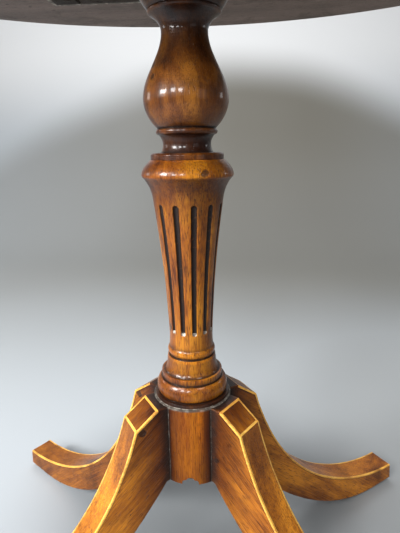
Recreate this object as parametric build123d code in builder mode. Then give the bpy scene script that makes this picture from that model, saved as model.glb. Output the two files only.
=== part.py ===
from build123d import *
import math
import os

os.makedirs("parts", exist_ok=True)

# Tilt-top table with an oval top, a turned and fluted column and four splayed sabre legs.
# Millimetres. Z is up, the floor is Z = 0 and the column stands on the Z axis.
# X runs along the oval's length, and -Y is the front, where the catch is.

# ---------------------------------------------------------------- driving sizes
table_height = 730.0            # floor to the polished face of the top
top_length = 864.0              # oval, along X
top_depth = 610.0               # oval, along Y
board_thickness = 17.8
board_lower_round = 5.0         # easing of the board's lower edge
veneer_thickness = 1.2
crossband_width = 46.0
top_line_width = 2.4            # boxwood line between the field and the crossband

block_thickness = 29.0          # tilt block, under the board
block_width = 234.0             # tilt block, along X, between the bearers
block_front = 71.0              # column axis to the block's front face
bearer_width = 32.0
arris_chamfer = 1.5

pivot_back = 57.0               # column axis to the pivot
pivot_drop = 15.0               # board underside to the pivot
pivot_pin_radius = 3.5
pivot_pin_depth = 30.0          # pin inside the block

bearer_screw_front = -48.0      # Y of the bearers' front screws
bearer_screw_back = 45.0        # Y of the bearers' back screws
bearer_screw_inset = 8.5        # bearer's inner side to its screws
screw_shank_radius = 2.0
screw_head_radius = 4.2
screw_head_height = 2.6
counterbore_radius = 6.0
counterbore_depth = 10.0
screw_bite = 11.0               # screw inside the board

catch_width = 30.0              # brass case, along X
catch_length = 38.0             # brass case, along Y
catch_height = 18.0
catch_flange = 11.0             # screw ears on both sides of the case
catch_flange_height = 3.0
catch_bolt_radius = 3.5
catch_bolt_drop = 11.5          # board underside to the bolt's axis
catch_travel = 10.0
catch_gap = 3.5                 # keeper face to the drawn bolt's nose and to the case
bolt_collar_radius = 4.8
bolt_collar_length = 8.0
knob_radius = 7.0
knob_length = 12.0
keeper_width = 44.0
keeper_height = 18.0
keeper_thickness = 1.8
keeper_screw_spacing = 32.0
catch_screw_shares = (0.22, 0.78)   # along the case, from its end nearer the block
small_screw_radius = 1.3
small_head_radius = 2.6
small_head_height = 1.4
small_screw_length = 12.0

hub_radius = 43.6
hub_bottom = 169.0              # floor to the hub's lower edge
hub_height = 93.0
arch_height = 9.0               # shaped cut in the hub's lower edge
arch_depth = 11.0
arch_share = 0.40               # arch width over the hub's visible width between two legs

leg_splay = 33.5                # degrees from the X axis to each leg
leg_reach = 350.0               # column axis to the toe's end
leg_thickness = 36.0
leg_flat = 7.6                  # level stretch between hub and panel
panel_run = 26.5                # canted panel at the leg's head
panel_drop = 19.0
toe_top = 31.0                  # floor to the toe's upper edge
toe_bottom = 6.0
toe_slant = 3.0                 # toe's upper edge, in from its lower edge
toe_flat = 28.0                 # flat under the toe
under_toe_height = 4.0
upper_control_one = (60.5, 47.3)    # hollow upper curve: out from the panel's foot, height
upper_control_two = (49.0, 26.0)    # in from the toe's end, height
under_control_one = (51.0, 100.0)   # underside curve: out from the hub, height
under_control_two = (150.0, -11.0)  # in from the toe's end, height
line_width = 2.6                # boxwood line seen from above
line_depth = 2.2                # boxwood line seen from the side
pad_length = 26.0
pad_width = 31.0
pad_height = 5.2
pad_centre = 300.0              # column axis to the pad's centre

tongue_root = 15.0              # dovetail tongue, narrow and wide ends
tongue_tip = 22.0
tongue_length = 14.0
tongue_stop = 14.0              # hub left whole above the tongue

shaft_tenon_radius = 15.0       # shaft into hub
shaft_tenon_length = 74.0
neck_dowel_radius = 13.0        # vase into shaft
neck_dowel_length = 42.0
head_tenon_radius = 18.0        # vase through the tilt block
wedge_thickness = 3.0
wedge_depth = 18.0

plate_radius = 32.0             # iron plate under the hub
plate_thickness = 2.0
plate_screw_circle = 22.5
plate_screw_length = 20.0

# clearances
glue_gap = 0.1
pin_clearance = 0.06
slide_clearance = 0.08
stop_gap = 0.3                  # bolt collar to its stop at each end of the travel
chamber_gap = 0.4               # bolt collar to the case around it
nose_gap = 0.6                  # bolt nose to the keeper's hole
block_gap = 1.0                 # board underside to the tilt block
bearer_gap = 0.5                # bearer to the side of the tilt block
screw_gap = 0.05

# column mouldings above the split: heights, then radii
cap_height = 8.5
cup_height = 19.0
rim_height = 3.5
cove_height = 14.5
vase_height = 59.0
bulb_height = 27.0
ring_height = 6.0
waist_height = 17.0
disc_height = 6.5
cap_radius = 46.0
cup_swell = 1.2                 # bulge of the cup past a straight cone
rim_radius = 34.2
neck_radius = 22.1
belly_radius = 41.5
foot_radius = 28.6
ring_radius = 30.4
waist_radius = 23.8
disc_radius = 36.5
disc_round = 1.6

# column mouldings below the split: heights, then radii
shoulder_height = 15.0
shoulder_lip = 2.2
throat_height = 19.5
plinth_height = 4.3
torus_height = 17.7
fillet_height = 7.5
bell_height = 18.5
groove_height = 2.0
astragal_height = 8.5
collar_height = 13.0
shoulder_radius = 46.4
throat_radius = 36.3
taper_sweep = 25.6              # control radius of the tapered shaft's hollow curve
taper_foot_radius = 23.7
collar_radius = 24.4
astragal_radius = 26.0
groove_radius = 24.6
bell_top_radius = 26.2
bell_foot_radius = 31.2
fillet_radius = 33.7
torus_radius = 39.4
plinth_radius = 41.6

# flutes
flute_count = 12
flute_top_radius = 3.2
flute_foot_radius = 2.5
flute_depth = 2.7
flute_top_margin = 5.5          # throat to the flute's upper end
flute_foot_margin = 4.5         # collar to the flute's lower end

# ---------------------------------------------------------------- worked out from them
board_top = table_height - veneer_thickness
board_under = board_top - board_thickness
block_top = board_under - block_gap
block_under = block_top - block_thickness
bearer_height = board_under - block_under
pivot_height = board_under - pivot_drop
back_round = pivot_drop - block_gap             # block's back end, rounded about the pivot
block_end = pivot_back + back_round
bearer_inner = block_width / 2 + bearer_gap
bearer_outer = bearer_inner + bearer_width
bearer_middle = bearer_inner + bearer_width / 2
bearer_screw_out = bearer_inner + bearer_screw_inset
bolt_height = board_under - catch_bolt_drop
catch_front = -block_front - catch_gap          # Y of the case's end that faces the block
catch_back = catch_front - catch_length
chamber_length = catch_travel + bolt_collar_length + 2 * stop_gap
chamber_back = catch_front - (catch_length + chamber_length) / 2
knob_front = catch_back - catch_travel - stop_gap

hub_top = hub_bottom + hub_height
leg_top = hub_top - 0.6
panel_start = (hub_radius + leg_flat, leg_top)
panel_end = (hub_radius + leg_flat + panel_run, leg_top - panel_drop)
leg_angles = {
    "back_right": leg_splay,
    "back_left": 180 - leg_splay,
    "front_left": 180 + leg_splay,
    "front_right": 360 - leg_splay,
}

z_cap = block_under - cap_height
z_rim_top = z_cap - cup_height
z_rim = z_rim_top - rim_height
z_neck = z_rim - cove_height
z_belly = z_neck - vase_height
z_foot = z_belly - bulb_height
z_ring = z_foot - ring_height
z_disc = z_ring - waist_height
z_split = z_disc - disc_height
z_shoulder = z_split - shoulder_height
z_lip = z_shoulder - shoulder_lip
z_throat = z_lip - throat_height
z_plinth = hub_top + plinth_height
z_torus = z_plinth + torus_height
z_fillet = z_torus + fillet_height
z_bell = z_fillet + bell_height
z_groove = z_bell + groove_height
z_astragal = z_groove + astragal_height
z_taper = z_astragal + collar_height
taper_length = z_throat - z_taper


def save(builder, name):
    """Label one finished piece and write its file."""
    builder.part.label = name
    export_step(builder.part, f"parts/{name}.step")


def radial_plane(angle, out=0.0):
    """Upright plane through the column axis: its x runs outwards along the leg, its y is up."""
    a = math.radians(angle)
    normal = Vector(math.sin(a), -math.cos(a), 0)
    return Plane(origin=normal * out, x_dir=(math.cos(a), math.sin(a), 0), z_dir=normal)


def level_plane(angle, height):
    """Level plane whose x runs outwards along the leg."""
    a = math.radians(angle)
    return Plane(origin=(0, 0, height), x_dir=(math.cos(a), math.sin(a), 0), z_dir=(0, 0, 1))


def dovetail(gap):
    """Plan of a leg's dovetail tongue, grown by gap for its socket."""
    tip = hub_radius - tongue_length - gap
    root = hub_radius + glue_gap + 1.0
    narrow = tongue_root / 2 + gap
    wide = tongue_tip / 2 + gap
    slope = (wide - narrow) / tongue_length
    mouth = narrow - slope * (root - hub_radius)
    Polygon((tip, wide), (root, mouth), (root, -mouth), (tip, -wide), align=None)


# ---------------------------------------------------------------- top: board, veneers, line
def oval(inset, mode=Mode.ADD):
    Ellipse(top_length / 2 - inset, top_depth / 2 - inset, mode=mode)


bearer_screw_places = [
    (side * bearer_screw_out, y) for side in (-1, 1) for y in (bearer_screw_front, bearer_screw_back)
]
catch_screw_places = [
    (side * (catch_width + catch_flange) / 2, catch_front - catch_length * share)
    for side in (-1, 1)
    for share in catch_screw_shares
]
catch_screw_bite = small_screw_length - catch_flange_height

with BuildPart() as top_board:
    with BuildSketch(Plane.XY.offset(board_under)):
        oval(0)
    extrude(amount=board_thickness)
    fillet(top_board.faces().sort_by(Axis.Z)[0].edges(), radius=board_lower_round)
    with BuildSketch(Plane.XY.offset(board_under)):
        with Locations(*bearer_screw_places):
            Circle(screw_shank_radius + screw_gap)
    extrude(amount=screw_bite + screw_gap, mode=Mode.SUBTRACT)
    with BuildSketch(Plane.XY.offset(board_under)):
        with Locations(*catch_screw_places):
            Circle(small_screw_radius + screw_gap)
    extrude(amount=catch_screw_bite + screw_gap, mode=Mode.SUBTRACT)
save(top_board, "top_board")

with BuildPart() as top_crossband:
    with BuildSketch(Plane.XY.offset(board_top)):
        oval(0)
        oval(crossband_width, Mode.SUBTRACT)
    extrude(amount=veneer_thickness)
save(top_crossband, "top_crossband")

with BuildPart() as top_line:
    with BuildSketch(Plane.XY.offset(board_top)):
        oval(crossband_width)
        oval(crossband_width + top_line_width, Mode.SUBTRACT)
    extrude(amount=veneer_thickness)
save(top_line, "top_line")

with BuildPart() as top_field:
    with BuildSketch(Plane.XY.offset(board_top)):
        oval(crossband_width + top_line_width)
    extrude(amount=veneer_thickness)
save(top_field, "top_field")


# ---------------------------------------------------------------- bearers and pivot pins
for side_name, side in (("left", -1), ("right", 1)):
    with BuildPart() as bearer:
        with BuildSketch(Plane.XY.offset(block_under)):
            with Locations((side * bearer_middle, (block_end - block_front) / 2)):
                Rectangle(bearer_width, block_end + block_front)
        extrude(amount=bearer_height)
        chamfer(bearer.faces().sort_by(Axis.Z)[0].edges(), length=arris_chamfer)
        with BuildSketch(Plane.YZ.offset(side * bearer_inner)):
            with Locations((pivot_back, pivot_height)):
                Circle(pivot_pin_radius)
        extrude(amount=side * bearer_width, mode=Mode.SUBTRACT)
        for y in (bearer_screw_front, bearer_screw_back):
            with Locations(Plane(origin=(side * bearer_screw_out, y, block_under), z_dir=(0, 0, -1))):
                CounterBoreHole(screw_shank_radius + screw_gap, counterbore_radius, counterbore_depth)
    save(bearer, f"bearer_{side_name}")

    with BuildPart() as pivot_pin:
        with BuildSketch(Plane.YZ.offset(side * bearer_outer)):
            with Locations((pivot_back, pivot_height)):
                Circle(pivot_pin_radius)
        extrude(amount=-side * (bearer_width + bearer_gap + pivot_pin_depth))
        chamfer(pivot_pin.edges().filter_by(GeomType.CIRCLE), length=0.4)
    save(pivot_pin, f"pivot_pin_{side_name}")


# ---------------------------------------------------------------- screws
def wood_screw(seat, out, across, length, shank, head, dome):
    """Round-head screw: the head sits on seat and looks out, the shank goes the other way."""
    out = Vector(*out)
    across = Vector(*across)
    with BuildSketch(Plane(origin=seat, x_dir=across, z_dir=across.cross(out))) as outline:
        with BuildLine():
            Polyline((0, -length), (shank, 2 * shank - length), (shank, 0), (head, 0))
            ThreePointArc((head, 0), (0.8 * head, 0.65 * dome), (0.35 * head, dome))
            Polyline((0.35 * head, dome), (0, dome), (0, -length))
        make_face()
    revolve(outline.sketch, axis=Axis(seat, tuple(out)))


with BuildPart() as bearer_screws:
    for x, y in bearer_screw_places:
        wood_screw(
            (x, y, block_under + counterbore_depth),
            (0, 0, -1),
            (1, 0, 0),
            bearer_height - counterbore_depth + screw_bite,
            screw_shank_radius,
            screw_head_radius,
            screw_head_height,
        )
save(bearer_screws, "bearer_screws")


# ---------------------------------------------------------------- tilt block
with BuildPart() as tilt_block:
    with BuildSketch(Plane.YZ.offset(-block_width / 2)):
        with BuildLine():
            Polyline(
                (pivot_back, block_top),
                (-block_front, block_top),
                (-block_front, block_under),
                (block_end, block_under),
                (block_end, pivot_height),
            )
            CenterArc((pivot_back, pivot_height), back_round, 0, 90)
        make_face()
    extrude(amount=block_width)
    chamfer(tilt_block.faces().sort_by(Axis.Z)[0].edges(), length=arris_chamfer)
    with BuildSketch(Plane.XY.offset(block_under)):
        Circle(head_tenon_radius + glue_gap)
    extrude(amount=block_thickness, mode=Mode.SUBTRACT)
    for side in (-1, 1):
        with BuildSketch(Plane.YZ.offset(side * block_width / 2)):
            with Locations((pivot_back, pivot_height)):
                Circle(pivot_pin_radius + pin_clearance)
        extrude(amount=-side * (pivot_pin_depth + 1), mode=Mode.SUBTRACT)
    with BuildSketch(Plane.XZ.offset(block_front)):
        with Locations((0, bolt_height)):
            Rectangle(keeper_width + glue_gap, keeper_height + glue_gap)
    extrude(amount=-keeper_thickness, mode=Mode.SUBTRACT)
    with BuildSketch(Plane.XZ.offset(block_front)):
        with Locations((0, bolt_height)):
            Circle(catch_bolt_radius + nose_gap)
    extrude(amount=-(catch_travel - catch_gap + 2), mode=Mode.SUBTRACT)
    with BuildSketch(Plane.XZ.offset(block_front)):
        with Locations((-keeper_screw_spacing / 2, bolt_height), (keeper_screw_spacing / 2, bolt_height)):
            Circle(small_screw_radius + screw_gap)
    extrude(amount=-(small_screw_length + screw_gap), mode=Mode.SUBTRACT)
save(tilt_block, "tilt_block")


# ---------------------------------------------------------------- brass catch
with BuildPart() as catch_case:
    with BuildSketch(Plane.XY.offset(board_under)):
        with Locations((0, (catch_front + catch_back) / 2)):
            Rectangle(catch_width, catch_length)
    extrude(amount=-catch_height)
    fillet(catch_case.faces().sort_by(Axis.Z)[0].edges(), radius=1.2)
    with BuildSketch(Plane.XY.offset(board_under)):
        with Locations((0, (catch_front + catch_back) / 2)):
            RectangleRounded(catch_width + 2 * catch_flange, catch_length, radius=3)
    extrude(amount=-catch_flange_height)
    with BuildSketch(Plane.XY.offset(board_under)):
        with Locations(*catch_screw_places):
            Circle(small_screw_radius + screw_gap)
    extrude(amount=-catch_flange_height, mode=Mode.SUBTRACT)
    with BuildSketch(Plane.XZ.offset(-catch_back)):
        with Locations((0, bolt_height)):
            Circle(catch_bolt_radius + slide_clearance)
        with Locations((0, (board_under + bolt_height) / 2)):
            Rectangle(2 * (catch_bolt_radius + slide_clearance), catch_bolt_drop)
    extrude(amount=-catch_length, mode=Mode.SUBTRACT)
    with BuildSketch(Plane.XZ.offset(-chamber_back)):
        with Locations((0, bolt_height)):
            Circle(bolt_collar_radius + chamber_gap)
        with Locations((0, (board_under + bolt_height) / 2)):
            Rectangle(2 * (bolt_collar_radius + chamber_gap), catch_bolt_drop)
    extrude(amount=-chamber_length, mode=Mode.SUBTRACT)
save(catch_case, "catch_case")

with BuildPart() as catch_screws:
    for x, y in catch_screw_places:
        wood_screw(
            (x, y, board_under - catch_flange_height),
            (0, 0, -1),
            (1, 0, 0),
            small_screw_length,
            small_screw_radius,
            small_head_radius,
            small_head_height,
        )
save(catch_screws, "catch_screws")

knob_socket = knob_length / 2
with BuildPart() as catch_bolt:
    with BuildSketch(Plane.XZ.offset(-knob_front + knob_socket)):
        with Locations((0, bolt_height)):
            Circle(catch_bolt_radius)
    extrude(amount=-(catch_front - knob_front + knob_socket))
    chamfer(catch_bolt.faces().sort_by(Axis.Y)[-1].edges(), length=0.8)
    with BuildSketch(Plane.XZ.offset(-chamber_back - stop_gap)):
        with Locations((0, bolt_height)):
            Circle(bolt_collar_radius)
    extrude(amount=-bolt_collar_length)
save(catch_bolt, "catch_bolt")

with BuildPart() as catch_knob:
    with BuildSketch(Plane.YZ):
        with BuildLine():
            Polyline(
                (knob_front, bolt_height + catch_bolt_radius),
                (knob_front, bolt_height + 0.72 * knob_radius),
                (knob_front - 2.5, bolt_height + 0.62 * knob_radius),
                (knob_front - 4, bolt_height + 0.8 * knob_radius),
            )
            ThreePointArc(
                (knob_front - 4, bolt_height + 0.8 * knob_radius),
                (knob_front - 0.62 * knob_length, bolt_height + knob_radius),
                (knob_front - knob_length, bolt_height + 0.4 * knob_radius),
            )
            Polyline(
                (knob_front - knob_length, bolt_height + 0.4 * knob_radius),
                (knob_front - knob_length, bolt_height),
                (knob_front - knob_socket, bolt_height),
                (knob_front - knob_socket, bolt_height + catch_bolt_radius),
                (knob_front, bolt_height + catch_bolt_radius),
            )
        make_face()
    revolve(axis=Axis((0, 0, bolt_height), (0, 1, 0)))
save(catch_knob, "catch_knob")

with BuildPart() as keeper_plate:
    with BuildSketch(Plane.XZ.offset(block_front)):
        with Locations((0, bolt_height)):
            Rectangle(keeper_width, keeper_height)
            Circle(catch_bolt_radius + nose_gap, mode=Mode.SUBTRACT)
        with Locations((-keeper_screw_spacing / 2, bolt_height), (keeper_screw_spacing / 2, bolt_height)):
            Circle(small_screw_radius + screw_gap, mode=Mode.SUBTRACT)
    extrude(amount=-keeper_thickness)
save(keeper_plate, "keeper_plate")

with BuildPart() as keeper_screws:
    for side in (-1, 1):
        wood_screw(
            (side * keeper_screw_spacing / 2, -block_front, bolt_height),
            (0, -1, 0),
            (1, 0, 0),
            small_screw_length,
            small_screw_radius,
            small_head_radius,
            small_head_height,
        )
save(keeper_screws, "keeper_screws")


# ---------------------------------------------------------------- column, upper half
with BuildPart() as column_vase:
    with BuildSketch(Plane.XZ):
        with BuildLine():
            Polyline(
                (0, block_top - glue_gap),
                (head_tenon_radius, block_top - glue_gap),
                (head_tenon_radius, block_under),
                (cap_radius, block_under),
                (cap_radius, z_cap),
            )
            cup_middle = ((cap_radius + rim_radius) / 2 + cup_swell, (z_cap + z_rim_top) / 2)
            ThreePointArc((cap_radius, z_cap), cup_middle, (rim_radius, z_rim_top))
            ThreePointArc((rim_radius, z_rim_top), (rim_radius, z_rim + 1.2), (rim_radius - 1.5, z_rim))
            Spline(
                (rim_radius - 1.5, z_rim), (neck_radius, z_neck), tangents=[(-1, -0.45), (0, -1)]
            )
            Spline((neck_radius, z_neck), (belly_radius, z_belly), tangents=[(0, -1), (0, -1)])
            Spline((belly_radius, z_belly), (foot_radius, z_foot), tangents=[(0, -1), (-1, -0.9)])
            ThreePointArc(
                (foot_radius, z_foot),
                (ring_radius, (z_foot + z_ring) / 2),
                (foot_radius - 1, z_ring),
            )
            ThreePointArc(
                (foot_radius - 1, z_ring),
                (waist_radius, (z_ring + z_disc) / 2),
                (foot_radius - 2, z_disc),
            )
            Polyline(
                (foot_radius - 2, z_disc),
                (disc_radius - disc_round, z_disc),
                (disc_radius, z_disc - disc_round),
                (disc_radius, z_split),
                (neck_dowel_radius, z_split),
                (neck_dowel_radius, z_split - neck_dowel_length),
                (0, z_split - neck_dowel_length),
                (0, block_top - glue_gap),
            )
        make_face()
    revolve(axis=Axis.Z)
    with BuildSketch(Plane.XY.offset(block_top - glue_gap)):
        Rectangle(wedge_thickness + glue_gap, 3 * head_tenon_radius)
    extrude(amount=-wedge_depth, mode=Mode.SUBTRACT)
save(column_vase, "column_vase")

with BuildPart() as tenon_wedge:
    with BuildSketch(Plane.XY.offset(block_top - glue_gap)):
        Circle(head_tenon_radius)
        Rectangle(wedge_thickness, 3 * head_tenon_radius, mode=Mode.INTERSECT)
    extrude(amount=glue_gap - wedge_depth)
save(tenon_wedge, "tenon_wedge")


# ---------------------------------------------------------------- column, lower half
def taper_point(t, u, depth=0.0):
    """Point of the shaft's hollow taper for t = u, from its foot (0) to its throat (1), sunk by depth."""
    radius = (
        taper_foot_radius * (1 - t) * (1 - u)
        + taper_sweep * (t * (1 - u) + u * (1 - t))
        + throat_radius * t * u
    )
    return (radius - depth, z_taper + taper_length * (t + u) / 2)


with BuildPart() as flute_cutter:
    with BuildSketch(Plane.XZ):
        with Locations((0, z_taper + flute_foot_margin + flute_foot_radius)):
            Circle(flute_foot_radius)
        with Locations((0, z_throat - flute_top_margin - flute_top_radius)):
            Circle(flute_top_radius)
        make_hull()
    extrude(amount=throat_radius + flute_depth)
    with BuildSketch(Plane.XZ):
        with BuildLine():
            Bezier(taper_point(1, 1, flute_depth), taper_point(0, 1, flute_depth), taper_point(0, 0, flute_depth))
            Polyline(taper_point(0, 0, flute_depth), (0, z_taper), (0, z_throat), taper_point(1, 1, flute_depth))
        make_face()
    revolve(axis=Axis.Z, mode=Mode.SUBTRACT)

with BuildPart() as column_shaft:
    with BuildSketch(Plane.XZ):
        with BuildLine():
            Polyline((0, z_split), (disc_radius + 0.4, z_split))
            Spline(
                (disc_radius + 0.4, z_split), (shoulder_radius, z_shoulder), tangents=[(1, -0.8), (0, -1)]
            )
            ThreePointArc(
                (shoulder_radius, z_shoulder),
                (shoulder_radius - 0.3, (z_shoulder + z_lip) / 2),
                (shoulder_radius - 1.2, z_lip),
            )
            Spline(
                (shoulder_radius - 1.2, z_lip), (throat_radius, z_throat), tangents=[(-1, -1.1), (-0.15, -1)]
            )
            Bezier(taper_point(1, 1), taper_point(0, 1), taper_point(0, 0))
            ThreePointArc(
                taper_point(0, 0),
                (taper_foot_radius + 0.2, (z_taper + z_astragal) / 2),
                (collar_radius, z_astragal),
            )
            ThreePointArc(
                (collar_radius, z_astragal),
                (astragal_radius, (z_astragal + z_groove) / 2),
                (groove_radius, z_groove),
            )
            Polyline((groove_radius, z_groove), (groove_radius, z_bell), (bell_top_radius, z_bell))
            Spline(
                (bell_top_radius, z_bell), (bell_foot_radius, z_fillet), tangents=[(0.25, -1), (1, -0.9)]
            )
            Polyline(
                (bell_foot_radius, z_fillet),
                (fillet_radius, z_fillet),
                (fillet_radius, z_torus),
                (torus_radius - 4, z_torus),
            )
            ThreePointArc(
                (torus_radius - 4, z_torus),
                (torus_radius, (z_torus + z_plinth) / 2),
                (torus_radius - 2, z_plinth),
            )
            Polyline(
                (torus_radius - 2, z_plinth),
                (plinth_radius, z_plinth),
                (plinth_radius, hub_top),
                (shaft_tenon_radius, hub_top),
                (shaft_tenon_radius, hub_top - shaft_tenon_length),
                (0, hub_top - shaft_tenon_length),
                (0, z_split),
            )
        make_face()
    revolve(axis=Axis.Z)
    with PolarLocations(0, flute_count, start_angle=180 / flute_count):
        add(flute_cutter.part, mode=Mode.SUBTRACT)
    with BuildSketch(Plane.XY.offset(z_split)):
        Circle(neck_dowel_radius + glue_gap)
    extrude(amount=-(neck_dowel_length + 2), mode=Mode.SUBTRACT)
save(column_shaft, "column_shaft")


# ---------------------------------------------------------------- hub
def leg_gaps():
    """Middle angle and visible half angle of the hub between each pair of neighbouring legs."""
    hidden = math.degrees(math.asin(leg_thickness / 2 / hub_radius))
    side_half = leg_splay - hidden
    end_half = 90 - leg_splay - hidden
    return ((0, side_half), (90, end_half), (180, side_half), (270, end_half))


plate_screw_places = [
    (plate_screw_circle * math.cos(math.radians(angle)), plate_screw_circle * math.sin(math.radians(angle)))
    for angle, _ in leg_gaps()
]

with BuildPart() as hub:
    with BuildSketch(Plane.XY.offset(hub_bottom)):
        Circle(hub_radius)
    extrude(amount=hub_height)
    with BuildSketch(Plane.XY.offset(hub_top)):
        Circle(shaft_tenon_radius + glue_gap)
    extrude(amount=-(shaft_tenon_length + 1), mode=Mode.SUBTRACT)
    for angle in leg_angles.values():
        with BuildSketch(level_plane(angle, hub_bottom)):
            dovetail(glue_gap)
        extrude(amount=hub_height - tongue_stop, mode=Mode.SUBTRACT)
    for angle, half in leg_gaps():
        width = 2 * hub_radius * math.sin(math.radians(half)) * arch_share
        half_width = width / 2
        with BuildSketch(radial_plane(angle - 90, hub_radius)):
            with BuildLine():
                ThreePointArc(
                    (-half_width, hub_bottom),
                    (-0.86 * half_width, hub_bottom + 0.5 * arch_height),
                    (-0.5 * half_width, hub_bottom + 0.62 * arch_height),
                )
                ThreePointArc(
                    (-0.5 * half_width, hub_bottom + 0.62 * arch_height),
                    (0, hub_bottom + arch_height),
                    (0.5 * half_width, hub_bottom + 0.62 * arch_height),
                )
                ThreePointArc(
                    (0.5 * half_width, hub_bottom + 0.62 * arch_height),
                    (0.86 * half_width, hub_bottom + 0.5 * arch_height),
                    (half_width, hub_bottom),
                )
                Line((half_width, hub_bottom), (-half_width, hub_bottom))
            make_face()
        extrude(amount=-arch_depth, both=True, mode=Mode.SUBTRACT)
    with BuildSketch(Plane.XY.offset(hub_bottom)):
        with Locations(*plate_screw_places):
            Circle(small_screw_radius + screw_gap)
    extrude(amount=plate_screw_length, mode=Mode.SUBTRACT)
save(hub, "hub")

with BuildPart() as hub_plate:
    with BuildSketch(Plane.XY.offset(hub_bottom)):
        Circle(plate_radius)
        with Locations(*plate_screw_places):
            Circle(small_screw_radius + screw_gap, mode=Mode.SUBTRACT)
    extrude(amount=-plate_thickness)
save(hub_plate, "hub_plate")

with BuildPart() as hub_plate_screws:
    for x, y in plate_screw_places:
        wood_screw(
            (x, y, hub_bottom - plate_thickness),
            (0, 0, -1),
            (1, 0, 0),
            plate_screw_length,
            small_screw_radius,
            small_head_radius,
            small_head_height,
        )
save(hub_plate_screws, "hub_plate_screws")


# ---------------------------------------------------------------- legs, lines and pads
panel = Vector(*panel_end) - Vector(*panel_start)
along = panel.normalized()
inward = Vector(along.Y, -along.X)              # into the wood from the panel
sweep_one = (panel_end[0] + upper_control_one[0], upper_control_one[1])
sweep_two = (leg_reach - upper_control_two[0], upper_control_two[1])
toe_end = (leg_reach - toe_slant, toe_top)
under_toe = (leg_reach - toe_flat, under_toe_height)    # where the leg's underside meets the toe
under_root = (hub_radius, hub_bottom)
under_one = (hub_radius + under_control_one[0], under_control_one[1])
under_two = (leg_reach - under_control_two[0], under_control_two[1])
leg_root = math.sqrt(hub_radius**2 - (leg_thickness / 2) ** 2) - 2


def long_line_outline():
    """Side view of a boxwood line along the leg's upper edge."""
    d = line_depth
    with BuildLine() as outline:
        Line(panel_start, panel_end)
        Bezier(panel_end, sweep_one, sweep_two, toe_end)
        Line(toe_end, (toe_end[0] + 0.1 * d, toe_end[1] - d))
        Bezier(
            (toe_end[0] + 0.1 * d, toe_end[1] - d),
            (sweep_two[0] - 0.2 * d, sweep_two[1] - d),
            (sweep_one[0] - 0.8 * d, sweep_one[1] - 0.75 * d),
            (panel_end[0] - 0.8 * d, panel_end[1] - 0.8 * d),
        )
        Polyline(
            (panel_end[0] - 0.8 * d, panel_end[1] - 0.8 * d),
            (panel_start[0] + d * inward.X, panel_start[1] + d * inward.Y),
            panel_start,
        )
    make_face(outline.edges())


def cross_line_outline(start):
    """Side view of a boxwood line across the leg; start is its distance along the panel."""
    corner = Vector(*panel_start) + along * start
    far = corner + along * line_width
    low = inward * line_depth
    Polygon(*[(v.X, v.Y) for v in (corner, far, far + low, corner + low)], align=None)


for leg_name, angle in leg_angles.items():
    half = leg_thickness / 2
    with BuildPart() as leg_lines:
        for side in (-1, 1):
            with BuildSketch(radial_plane(angle, side * (half - line_width))):
                long_line_outline()
            extrude(amount=side * line_width)
        with BuildSketch(radial_plane(angle)):
            cross_line_outline(0)
            cross_line_outline(panel.length - line_width)
        extrude(amount=half - line_width - glue_gap / 2, both=True)
    save(leg_lines, f"leg_lines_{leg_name}")

    with BuildPart() as leg:
        with BuildSketch(radial_plane(angle)):
            with BuildLine():
                Polyline((leg_root, leg_top), panel_start, panel_end)
                Bezier(panel_end, sweep_one, sweep_two, toe_end)
                Polyline(toe_end, (leg_reach, toe_bottom), under_toe)
                Bezier(under_toe, under_two, under_one, under_root)
                Polyline(under_root, (leg_root, hub_bottom), (leg_root, leg_top))
            make_face()
        extrude(amount=half, both=True)
        with BuildSketch(Plane.XY):
            Circle(hub_radius + glue_gap)
        extrude(amount=hub_top, mode=Mode.SUBTRACT)
        with BuildSketch(level_plane(angle, hub_bottom)):
            dovetail(0)
        extrude(amount=hub_height - tongue_stop - glue_gap)
        add(leg_lines.part, mode=Mode.SUBTRACT)
        with BuildSketch(level_plane(angle, 0)):
            with Locations((pad_centre, 0)):
                Rectangle(pad_length, pad_width)
        extrude(amount=pad_height, mode=Mode.SUBTRACT)
    save(leg, f"leg_{leg_name}")

    with BuildPart() as glide_pad:
        with BuildSketch(level_plane(angle, 0)):
            with Locations((pad_centre, 0)):
                Rectangle(pad_length, pad_width)
        extrude(amount=pad_height)
        chamfer(glide_pad.faces().sort_by(Axis.Z)[0].edges(), length=0.8)
    save(glide_pad, f"glide_pad_{leg_name}")
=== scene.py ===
# Oval tilt-top table on a turned and fluted column with four splayed sabre legs.
# Metres, with Z up; the column stands on the Z axis and -Y is the front.
import math
import bmesh
import bpy
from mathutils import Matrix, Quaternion, Vector, noise


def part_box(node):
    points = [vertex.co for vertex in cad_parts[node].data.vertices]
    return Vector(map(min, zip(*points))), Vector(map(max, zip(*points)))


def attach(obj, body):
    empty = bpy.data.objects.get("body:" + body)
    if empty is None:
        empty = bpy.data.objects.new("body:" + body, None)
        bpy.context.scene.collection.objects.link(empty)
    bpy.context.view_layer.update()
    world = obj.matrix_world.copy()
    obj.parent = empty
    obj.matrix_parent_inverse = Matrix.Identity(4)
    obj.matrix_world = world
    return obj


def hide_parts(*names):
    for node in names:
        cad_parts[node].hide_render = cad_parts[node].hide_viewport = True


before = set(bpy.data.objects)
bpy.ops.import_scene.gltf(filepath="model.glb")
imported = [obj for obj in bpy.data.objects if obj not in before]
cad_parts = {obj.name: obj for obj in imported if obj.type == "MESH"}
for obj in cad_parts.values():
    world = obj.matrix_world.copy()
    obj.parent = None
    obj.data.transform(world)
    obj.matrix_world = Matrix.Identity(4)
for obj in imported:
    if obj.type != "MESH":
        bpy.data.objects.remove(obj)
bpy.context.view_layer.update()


# ------------------------------------------------------------------ column, upper half
# One turning in dark red-brown mahogany: cap, cup, long neck, vase, ring, waist and disc.
# A dowel under the disc goes into the shaft, and a tenon above the cap is wedged in the tilt block.
MM = 0.001                                      # one millimetre, in metres


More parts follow.
